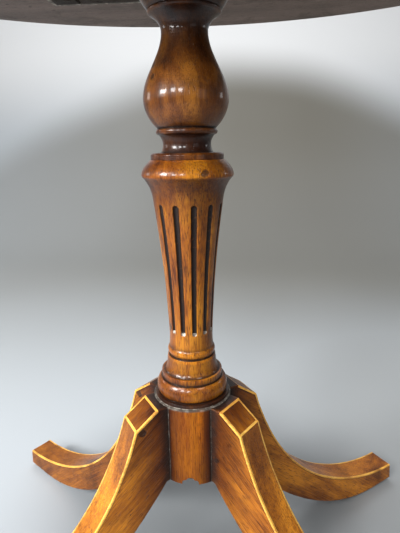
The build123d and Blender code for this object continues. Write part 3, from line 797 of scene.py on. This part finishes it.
def leg_half_loop(place, way, below, cut):
    """Half a section from the middle of the underside up and over to the middle of the top."""
    sink = Vector((way.y, -way.x))              # into the wood
    up = (place - below).normalized()
    h, e = leg_half, ease
    loop = [(0, below, 0, 0), (h * 0.5, below, 0, 0), (h - e, below, 0, 0)]
    loop += [(h - nip * e, below + up * nip * e, 0, 0.7), (h, below + up * e, 0, 0.2)]
    low, high = below + up * e, place + sink * line_deep
    loop += [(h, low.lerp(high, s), 0, 0) for s in (0.12, 0.3, 0.5, 0.7, 0.88, 0.965)]
    if cut == "plain":
        loop += [(h, high, 0, 0), (h, place + sink * e, 0, 0.6)]
        loop += [(h - nip * e, place + sink * nip * e, 0, 1), (h - e, place, 0, 0.6)]
        return loop + [(h - edge_strip, place, 0, 0), (h * 0.4, place, 0, 0), (0, place, 0, 0)]
    floor = place + (sink * line_deep if cut == "cross" else Vector((0, 0)))
    seam = 0.75 if cut == "line" else 1
    loop += [(h, high, 0.7, 0), (h - line_wide, high, 1, 0), (h - line_wide, floor, seam, 0)]
    loop += [(h - line_wide - 0.1, floor, seam, 0), (h - edge_strip, floor, 0, 0)]
    return loop + [(h * 0.4, floor, 0, 0), (0, floor, 0, 0)]


def whole_loop(half):
    """A section's two mirrored halves as (x, y, z, recess, proud) in mm."""
    right = [(p.x, y, p.y, sunk, worn) for y, p, sunk, worn in half]
    left = [(x, -y, z, sunk, worn) for x, y, z, sunk, worn in reversed(right[1:-1])]
    return right + left


noise.seed_set(1)                               # without it, noise_vector differs from run to run


def sway(x, y, z, seed):
    """Slight unevenness of hand-worked and long-polished surfaces, in mm."""
    slow_wave, slow_push, quick_wave, quick_push = 0.03, 0.16, 0.16, 0.05
    place = Vector((x, y, z + 400 * seed))
    push = noise.noise_vector(place * slow_wave) * slow_push
    push += noise.noise_vector(place * quick_wave) * quick_push
    return x + push.x, y + push.y, z + push.z


def skin(loops, ends=True):
    """Faces over a row of closed loops of equal length, with a flat face at each end if wanted."""
    count = len(loops[0])
    faces = []
    for row in range(len(loops) - 1):
        for k in range(count):
            n = (k + 1) % count
            faces.append((row * count + k, row * count + n, (row + 1) * count + n, (row + 1) * count + k))
    if ends:
        faces.append(tuple(reversed(range(count))))
        faces.append(tuple(range((len(loops) - 1) * count, len(loops) * count)))
    return faces


def tidy_skin(piece, sharp=50):
    """Join doubled points, face outwards and keep the crisp edges crisp."""
    form = bmesh.new()
    form.from_mesh(piece.data)
    bmesh.ops.remove_doubles(form, verts=form.verts, dist=0.000001)
    bmesh.ops.dissolve_degenerate(form, edges=form.edges, dist=0.0000005)
    bmesh.ops.recalc_face_normals(form, faces=form.faces)
    form.to_mesh(piece.data)
    form.free()
    piece.data.polygons.foreach_set("use_smooth", [True] * len(piece.data.polygons))
    piece.data.set_sharp_from_angle(angle=math.radians(sharp))


def leg_dirt(x, y, z):
    """Wax (black) and old stain (brown) round the leg's root, darkest on the flat by the column."""
    out = math.hypot(x, y) - hub_radius
    on_top = z > leg_top - 1.2 and x < panel_start.x + 0.2

    def fading(reach):
        share = min(1, max(0, out / reach))
        return 1 - share * share * (3 - 2 * share)

    if on_top:
        return fading(head_wax), 1.0
    return 0.9 * fading(side_wax), fading(side_brown)


chord = math.radians(-40)


def leg_grain(x, y, z, seed):
    """Board coordinates: the fibres run straight along the leg's chord."""
    along = x * math.cos(chord) + z * math.sin(chord)
    over = -x * math.sin(chord) + z * math.cos(chord)
    return along * MM + 2.3 * seed, y * MM + 0.7 * seed, over * MM


def make_leg(name, angle, seed):
    """One leg lying along X, turned to its place about the column; the back pair carries painted shade."""
    # Painted shade: the back pair of legs is darker, the back left most.
    back_pair_shade = 0.35 - 0.25 * math.cos(angle) if math.sin(angle) > 0 else 0.0
    stations = leg_stations()
    loops = [whole_loop(leg_half_loop(*station)) for station in stations]
    way = stations[-1][1]
    middle = (toe_end + toe_foot) / 2
    toe_rounding, toe_narrowing, toe_wear = 0.45, 0.975, 0.3
    last = []
    for x, y, z, sunk, worn in whole_loop(leg_half_loop(toe_end, way, toe_foot, "line")):
        pull = (middle - Vector((x, z))).normalized() * toe_rounding
        last.append((x + pull.x, y * toe_narrowing, z + pull.y, sunk, toe_wear))
    loops.append(last)
    loops[0] = [(math.sqrt(hub_radius**2 - y * y) + 0.1, y, z, s, w) for x, y, z, s, w in loops[0]]
    points, recess, proud, grain, stains = [], [], [], [], []
    for loop in loops:
        for x, y, z, sunk, worn in loop:
            points.append(Vector(sway(x, y, z, seed)) * MM)
            black, brown = leg_dirt(x, y, z)
            recess.append(max(sunk, black))
            stains.append(max(brown, back_pair_shade))
            proud.append(worn)
            grain.append(leg_grain(x, y, z, seed))
    faces = skin(loops)
    first = len(points)
    tongue_dirt, tongue_stain = 0.6, 0.5
    tip, root = hub_radius - tongue_in, hub_radius + 0.6
    for z in (hub_bottom + 0.02, hub_top - tongue_head):
        for x, y in ((tip, tongue_tip), (root, tongue_root), (root, -tongue_root), (tip, -tongue_tip)):
            points.append(Vector((x, y, z)) * MM)
            recess.append(tongue_dirt)
            proud.append(0)
            stains.append(tongue_stain)
            grain.append(leg_grain(x, y, z, seed))
    for corners in ((0, 1, 2, 3), (4, 5, 6, 7), (0, 1, 5, 4), (1, 2, 6, 5), (2, 3, 7, 6), (3, 0, 4, 7)):
        faces.append(tuple(first + k for k in corners))
    piece = make_piece(name, points, faces)
    paint(piece, recess=recess, proud=proud, stain=stains, grain=grain)
    tidy_skin(piece)
    piece.rotation_euler.z = angle
    return piece


def line_loop(place, way, side):
    """Section of the long line that forms the leg's upper arris."""
    sink = Vector((way.y, -way.x))
    inner, deepest = leg_half - line_wide + line_gap, line_deep - line_gap
    corners = [(inner, 0.0)]
    corners += [(leg_half - by, deep) for by, deep in ((0.6, 0.0), (0.22, 0.1), (0.08, 0.24), (0, 0.6))]
    corners += [(leg_half, deepest), (inner, deepest)]
    return [(*(place + sink * deep), side * y) for y, deep in corners]


def make_lines(name, angle, seed):
    """One leg's boxwood: two long lines and two short ones across the head."""
    stations = [s for s in leg_stations() if s[3] != "plain"]
    stations = [s for k, s in enumerate(stations) if k == 0 or (s[0] - stations[k - 1][0]).length > 1e-4]
    stations.append((toe_end - Vector((0.3, 0)), stations[-1][1], None, "line"))
    points, faces, grain = [], [], []

    def add(loops, fibres):
        base = len(points)
        for n, loop in enumerate(loops):
            for x, z, y in loop:
                points.append(Vector(sway(x, y, z, seed)) * MM)
                grain.append(fibres(n, x * MM, y * MM, z * MM))
        faces.extend(tuple(base + k for k in face) for face in skin(loops))

    for side in (-1, 1):
        loops = [line_loop(station[0], station[1], side) for station in stations]
        add(loops, lambda n, x, y, z: (n * 0.006, y + side, z))
    slope = (panel_end - panel_start).normalized()
    sink = Vector((slope.y, -slope.x))
    inner = leg_half - line_wide - line_gap
    for start in (panel_start, panel_end - slope * line_wide):
        near, far = start + slope * line_gap, start + slope * (line_wide - line_gap)
        corners = (near, far, far + sink * line_deep, near + sink * line_deep)
        loops = [[(*p, -inner + 2 * inner * k / 8) for p in corners] for k in range(9)]
        add(loops, lambda n, x, y, z: (y + 3, x, z))
    piece = make_piece(name, points, faces)
    paint(piece, grain=grain)
    tidy_skin(piece)
    piece.rotation_euler.z = angle
    return piece


leg_wood = mahogany(
    "leg mahogany",
    (0.66, 0.245, 0.02), (0.37, 0.12, 0.012), (0.12, 0.03, 0.005),
    ribbon=0.9,
    blotches=0.4,
    coat=0.1,
)
boxwood = mahogany(
    "boxwood",
    (0.88, 0.53, 0.11), (0.72, 0.36, 0.06), (0.42, 0.16, 0.03),
    ribbon=0.5,
    blotches=0.8,
    bruises=0.5,
    coat=0.2,
    dirt=(0.22, 0.085, 0.015),
)
legs = {
    "back_right": leg_splay,
    "back_left": math.pi - leg_splay,
    "front_left": math.pi + leg_splay,
    "front_right": math.tau - leg_splay,
}
for seed, (corner, angle) in enumerate(legs.items()):
    leg = make_leg(f"sabre_leg_{corner}", angle, seed)
    finish_piece(leg, leg_wood, "base", "leg_mahogany", f"leg_{corner}")
    lines = make_lines(f"boxwood_lines_{corner}", angle, seed)
    finish_piece(lines, boxwood, "base", "boxwood", f"leg_lines_{corner}")


# ------------------------------------------------------------------ glide pads and hub plate
# Small dark pads under the toes, and a turned iron plate that ties the dovetails from below.
def plain_finish(name, pale, dark, roughness, metallic=0.0, scale=60.0, relief=0.0003, coat=0.0):
    """Mottled finish of one material: two colours in clouds, uneven roughness and fine relief."""
    material, tree, shader = new_material(name)
    place = spot_on(tree)
    cloud = speckle(tree, place, scale, detail=4.0, roughness=0.6)
    grit = speckle(tree, place, scale * 9, detail=3.0)
    colour = blended(tree, step_up(tree, cloud, 0.35, 0.65), (*pale, 1), (*dark, 1))
    uneven = step_up(tree, grit, 0.3, 0.7, roughness[0], roughness[1])
    tree.links.new(colour, shader.inputs["Base Color"])
    tree.links.new(uneven, shader.inputs["Roughness"])
    shader.inputs["Metallic"].default_value = metallic
    shader.inputs["Coat Weight"].default_value = coat
    bumped(tree, shader, grit, relief)
    return material


pad_finish = plain_finish("pad wood", (0.035, 0.022, 0.015), (0.012, 0.008, 0.006), (0.5, 0.8))
iron = plain_finish("forged iron", (0.09, 0.075, 0.065), (0.035, 0.022, 0.016), (0.45, 0.75), 0.7)
for corner in legs:
    dress(f"glide_pad_{corner}", pad_finish, 0.0005)
dress("hub_plate", iron, 0.0004)


# ------------------------------------------------------------------ tilt block and bearers
# Nearly black old mahogany: the block on the column's tenon, and the two bearers under the top
# that hold its pivot pins. Plane marks show, because nobody polished them, and a painted highlight runs
# along their lower edges.
def painted_edge_highlight(name, ends):
    """A painted highlight: a pale strip just inside the lower edges of a squared piece."""
    inner, outer = 0.0045, 0.0065                           # how far in the strip fades, in metres
    low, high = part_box(name)

    def mask(tree):
        x, y, z = axes(tree, spot_on(tree))
        front, back = reckon(tree, "SUBTRACT", y, low.y), reckon(tree, "SUBTRACT", high.y, y)
        edge = reckon(tree, "MINIMUM", front, back)
        if ends:
            end = reckon(tree, "SUBTRACT", high.x, reckon(tree, "ABSOLUTE", x))
            edge = reckon(tree, "MINIMUM", edge, end)
        strip = step_up(tree, edge, inner, outer, 1.0, 0.0)
        return times(tree, strip, step_up(tree, z, low.z + 0.002, low.z + 0.003, 0.8, 0.0))

    return mask


def dark_wood(name, axis, like, ends):
    """Unpolished dark mahogany with its fibres along an axis and a painted highlight along its lower
    edges.
    """
    return mahogany(
        name,
        (0.042, 0.027, 0.019),
        (0.028, 0.018, 0.013),
        (0.014, 0.009, 0.007),
        grain=fibres_along(axis),
        # A painted highlight along the lower edges, carried in the dust input.
        dust=painted_edge_highlight(like, ends),
        blotches=0.5,
        coat=0.0,
        specular=0.04,
    )


block_wood = dark_wood("dark block mahogany", "X", "tilt_block", False)
bearer_wood = dark_wood("dark bearer mahogany", "Y", "bearer_right", True)
wedge_wood = mahogany(
    "wedge wood",
    (0.34, 0.19, 0.08), (0.24, 0.12, 0.05), (0.1, 0.05, 0.02),
    grain=fibres_along("Z"),
    coat=0.0,
)
dress("tilt_block", block_wood, 0.0006)
dress("bearer_left", bearer_wood, 0.0006)
dress("bearer_right", bearer_wood, 0.0006)
dress("tenon_wedge", wedge_wood, 0)


# ------------------------------------------------------------------ metal fittings
# Steel pivot pins and wood screws, and the sprung brass catch with its knob and keeper plate.
steel = plain_finish("worn steel", (0.42, 0.4, 0.37), (0.16, 0.13, 0.11), (0.28, 0.55), 1.0, 120.0)
brass = plain_finish("old brass", (0.62, 0.4, 0.14), (0.3, 0.17, 0.055), (0.22, 0.48), 1.0, 90.0)
for name in ("pivot_pin_left", "pivot_pin_right", "bearer_screws", "hub_plate_screws"):
    dress(name, steel, 0)
for name in ("catch_case", "keeper_plate"):
    dress(name, brass, 0.0003)
for name in ("catch_bolt", "catch_knob", "catch_screws", "keeper_screws"):
    dress(name, brass, 0)


# ------------------------------------------------------------------ top
# An oval board of plain wood, its face laid with a mahogany field, a boxwood line and a
# crossband whose grain runs out to the edge. The underside was left unpolished and has greyed.
board_low, board_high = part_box("top_board")
face_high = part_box("top_field")[1]
band_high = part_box("top_crossband")[1]
line_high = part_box("top_line")[1]
half_long, half_deep = band_high.x / MM, band_high.y / MM
board_under, board_top, face = board_low.z / MM, board_high.z / MM, face_high.z / MM
band_width = half_long - line_high.x / MM
string_width = (line_high.x - face_high.x) / MM
round_under = 5.0


def oval_piece(name, rings, close=False):
    """Oval solid from rings (semi-axis along X, along Y, height, in mm), or a closed band of them."""
    count = 300
    loops = []
    for along, across, height in rings:
        ways = [math.tau * k / count for k in range(count)]
        loops.append([(along * math.cos(w) * MM, across * math.sin(w) * MM, height * MM) for w in ways])
    if close:
        loops.append(loops[0])
    faces = skin(loops, not close)
    piece = make_piece(name, [p for loop in loops for p in loop], faces)
    tidy_skin(piece, 35)
    return piece


def inset(by, height):
    """A ring of the top's oval, by millimetres in from its edge."""
    return half_long - by, half_deep - by, height


def shrunk(share, height, by=0.0):
    """A smaller ring of the same shape."""
    return (half_long - by) * share, (half_deep - by) * share, height


def insets(*rings):
    """Rings of the top's oval, each by millimetres in from its edge and at a height."""
    return [inset(*ring) for ring in rings]


rounding = []
for k in range(9):
    turned = math.pi / 2 * k / 8
    by, up = round_under * (1 - math.sin(turned)), round_under * (1 - math.cos(turned))
    rounding.append(inset(by, board_under + up))
shares = (0.04, 0.3, 0.6, 0.85, 0.96)
board_rings = [shrunk(s, board_under, round_under) for s in shares] + rounding
board_rings += insets((0, board_under + 8), (0, board_top - 0.4), (0.1, board_top - 0.1), (0.5, board_top))
board_rings += [shrunk(s, board_top) for s in reversed(shares)]
board = oval_piece("oval_board", board_rings)
glue, gap, eased_gap = 0.02, 0.03, 0.08         # glue below a veneer, and gaps at its foot and its arris
laid, worn_face = board_top + glue, face - 0.06
band_rings = insets((band_width - gap, laid), (0.2, laid), (0.05, board_top + 0.1), (0.05, face - 0.5))
band_rings += insets((0.2, face - 0.15), (0.55, face))
band_rings += [inset(band_width * s, face) for s in (0.2, 0.4, 0.6, 0.8)]
band_rings += insets((band_width - eased_gap, face), (band_width - gap, worn_face))
crossband = oval_piece("crossband", band_rings, close=True)
line_inner = band_width + string_width
string_rings = insets((line_inner - gap, laid), (band_width + gap, laid), (band_width + gap, worn_face))
string_rings += insets((band_width + eased_gap, face), (line_inner - eased_gap, face))
string_rings += insets((line_inner - gap, worn_face))
top_string = oval_piece("top_boxwood_line", string_rings, close=True)
field_rings = [shrunk(s, laid, line_inner + gap) for s in (*shares, 1.0)]
field_rings += insets((line_inner + gap, worn_face), (line_inner + eased_gap, face))
field_rings += [shrunk(s, face, line_inner + eased_gap) for s in reversed(shares)]
field = oval_piece("mahogany_field", field_rings)

plain_wood = mahogany(
    "secondary wood",
    (0.21, 0.147, 0.12), (0.155, 0.106, 0.086), (0.09, 0.06, 0.048),
    grain=fibres_along("X"),
    dirt=(0.03, 0.021, 0.016),
    ribbon=0.6,
    blotches=0.4,
    coat=0.0,
)
well_kept = {"bruises": 0.25, "coat": 0.5, "coat_roughness": 0.22}
field_wood = mahogany(
    "figured mahogany",
    (0.46, 0.165, 0.045), (0.27, 0.08, 0.02), (0.1, 0.026, 0.008),
    grain=fibres_along("X"),
    ribbon=1.5,
    blotches=0.12,
    **well_kept,
)
around = []
for vertex in crossband.data.vertices:
    x, y = vertex.co.x, vertex.co.y
    way = math.atan2(y / half_deep, x / half_long)
    around.append((math.hypot(x, y), 0.4 * math.cos(way), 0.3 * math.sin(way)))
paint(crossband, grain=around)
band_wood = mahogany(
    "crossband mahogany",
    (0.40, 0.13, 0.034), (0.22, 0.06, 0.016), (0.085, 0.022, 0.008),
    ribbon=1.2,
    blotches=0.15,
    **well_kept,
)
finish_piece(board, plain_wood, "top", "secondary_wood", "top_board")
finish_piece(crossband, band_wood, "top", "crossband_veneer", "top_crossband")
finish_piece(top_string, boxwood, "top", "boxwood", "top_line")
finish_piece(field, field_wood, "top", "mahogany_top", "top_field")


# ------------------------------------------------------------------ the studio
# A pale floor that sweeps up far behind the table, its colour painted with the table's shadow and other
# light and shade, a large soft lamp from the upper left, fills, and five small lamps whose reflections sit
# on the mouldings.
# The camera looks slightly down.
def sweep_floor():
    """Floor and backdrop in one sheet: flat round the table, rising in a wide curve at the back."""
    curve, reach, half_wide, height = 1.6, -6.0, 7.0, 5.0
    section = [(reach, 0.0), (0.0, 0.0), (curve, 0.0)]
    for k in range(1, 23):
        a = math.radians(4 * k)
        section.append((curve + curve * math.sin(a), curve - curve * math.cos(a)))
    section.append((2 * curve, height))
    below_the_pads = 0.0002
    points = [(x, y, z - below_the_pads) for y, z in section for x in (-half_wide, half_wide)]
    faces = [(2 * k, 2 * k + 1, 2 * k + 3, 2 * k + 2) for k in range(len(section) - 1)]
    mesh = bpy.data.meshes.new("studio_floor")
    mesh.from_pydata(points, [], faces)
    mesh.polygons.foreach_set("use_smooth", [True] * len(faces))
    return stand("studio_floor", mesh)


floor = sweep_floor()
paper, tree, shader = new_material("studio paper")
shader.inputs["Roughness"].default_value = 0.55
shader.inputs["Specular IOR Level"].default_value = 0.2
spot = spot_on(tree)
x, y, z = axes(tree, spot)
# The paper's colour is painted light and shade. First comes a painted shadow of the table: a band across
# the backdrop and the floor behind the table, arched at its top, lighter to the far left and reaching
# nearer on the floor to the right.
cloud = speckle(tree, spot, 0.8, detail=1.0)
edge = plus(tree, cloud, 0.5, -0.25)
behind = step_up(tree, reckon(tree, "ADD", y, edge), 0.1, 1.5)
arch = plus(tree, times(tree, x, x), 0.22, z)
low = step_up(tree, plus(tree, edge, 0.4, arch), 0.86, 1.3, 1.0, 0.0)
left = step_up(tree, reckon(tree, "ADD", x, edge), -2.3, -0.3, 0.45, 0.88)
right = step_up(tree, reckon(tree, "ABSOLUTE", reckon(tree, "SUBTRACT", x, 0.3)), 0.2, 1.1, 0.12, -0.08)
sides = reckon(tree, "ADD", left, right)
deeper = times(tree, low, step_up(tree, z, 0.0, 0.7, 0.86, 1.0))
shade = times(tree, times(tree, behind, deeper), sides)
beside = times(tree, step_up(tree, x, -0.15, 0.4, 0.0, 0.4), low)
shade = reckon(tree, "MAXIMUM", shade, beside)
# Painted shade and light: the floor is darker in front of and under the table than behind it, and the
# backdrop is paler higher up.
painted_floor_shade = blended(tree, step_up(tree, y, -0.4, 0.45), (0.28, 0.304, 0.33, 1), (0.365, 0.393, 0.418, 1))
upper = blended(tree, step_up(tree, z, 0.5, 1.3), painted_floor_shade, (0.62, 0.63, 0.64, 1))
# The painted shadow's colour is mixed in where the shade mask is high.
tone = blended(tree, shade, upper, (0.135, 0.129, 0.11, 1))
# A painted shadow beneath the table, darkest under the hub and between the legs.
under_table = (0.02, 0.1, 0.0)
far = put(tree, "ShaderNodeVectorMath", {0: spot, 1: under_table}, operation="DISTANCE").outputs["Value"]
painted_shadow_beneath = step_up(tree, far, 0.06, 0.36, 0.85, 0.0)
tone = blended(tree, painted_shadow_beneath, tone, (0.12, 0.13, 0.135, 1))
tree.links.new(tone, shader.inputs["Base Color"])
clear = put(tree, "ShaderNodeBsdfTransparent")
seen_from = put(tree, "ShaderNodeNewGeometry").outputs["Backfacing"]
one_way = put(tree, "ShaderNodeMixShader", {0: seen_from, 1: shader.outputs[0], 2: clear.outputs[0]})
tree.links.new(one_way.outputs[0], tree.nodes["Material Output"].inputs["Surface"])
floor.data.materials.append(paper)


def lamp(name, place, aim, size, power, colour=(1, 1, 1)):
    """A square soft lamp that looks at a point."""
    light = bpy.data.lights.new(name, "AREA")
    light.shape = "SQUARE"
    light.size = size
    light.energy = power
    light.color = colour
    head = stand(name, light)
    head.location = place
    head.rotation_mode = "QUATERNION"
    head.rotation_quaternion = (Vector(aim) - Vector(place)).to_track_quat("-Z", "Y")


lamp("high key", (-1.3, -1.6, 2.1), (0, 0, 0.3), 0.8, 35, (1.0, 0.97, 0.92))
lamp("low key", (-1.9, -1.1, 1.15), (0, 0, 0.5), 0.8, 11, (1.0, 0.96, 0.9))
lamp("fill", (1.9, -1.7, 0.9), (0, 0, 0.35), 1.2, 3, (0.93, 0.97, 1.0))
lamp("right key", (1.1, -1.3, 2.2), (0, 0, 0.2), 0.7, 16, (1.0, 0.97, 0.93))
lamp("left strip", (-1.5, 0.5, 0.75), (0, 0, 0.45), 0.3, 1.8)
lamp("right strip", (1.5, 0.6, 0.75), (0, 0, 0.45), 0.25, 1.0)
lamp("backdrop", (-0.5, 1.6, 3.6), (-0.4, 3.2, 1.2), 2.6, 101)
lamp("above", (-0.1, 0.1, 3.0), (0, 0, 0), 2.6, 24)
lamp("left bulb", (-1.25, -0.85, 1.1), (0, 0, 0.45), 0.46, 38)
lamp("middle bulb", (-0.72, -1.35, 1.12), (0, 0, 0.45), 0.3, 13)
lamp("near bulb", (-0.2, -1.55, 1.15), (0, 0, 0.45), 0.25, 9)
world = bpy.data.worlds.new("soft room")
world.use_nodes = True
world.node_tree.nodes["Background"].inputs[0].default_value = (0.9, 0.94, 1.0, 1)
world.node_tree.nodes["Background"].inputs[1].default_value = 0.12
bpy.context.scene.world = world
bpy.context.scene.view_settings.view_transform = "Standard"

heading, tilt = math.radians(4.73), math.radians(-15.12)
lens = bpy.data.cameras.new("camera")
lens.lens = 29.95
lens.sensor_width = 36
lens.clip_start = 0.02
camera = stand("camera", lens)
camera.location = (0.0485, -0.454, 0.532)
look = Vector((-math.sin(heading) * math.cos(tilt), math.cos(heading) * math.cos(tilt), math.sin(tilt)))
camera.rotation_mode = "QUATERNION"
camera.rotation_quaternion = look.to_track_quat("-Z", "Y") @ Quaternion((0, 0, 1), math.radians(-0.92))
bpy.context.scene.camera = camera

bpy.context.view_layer.update()
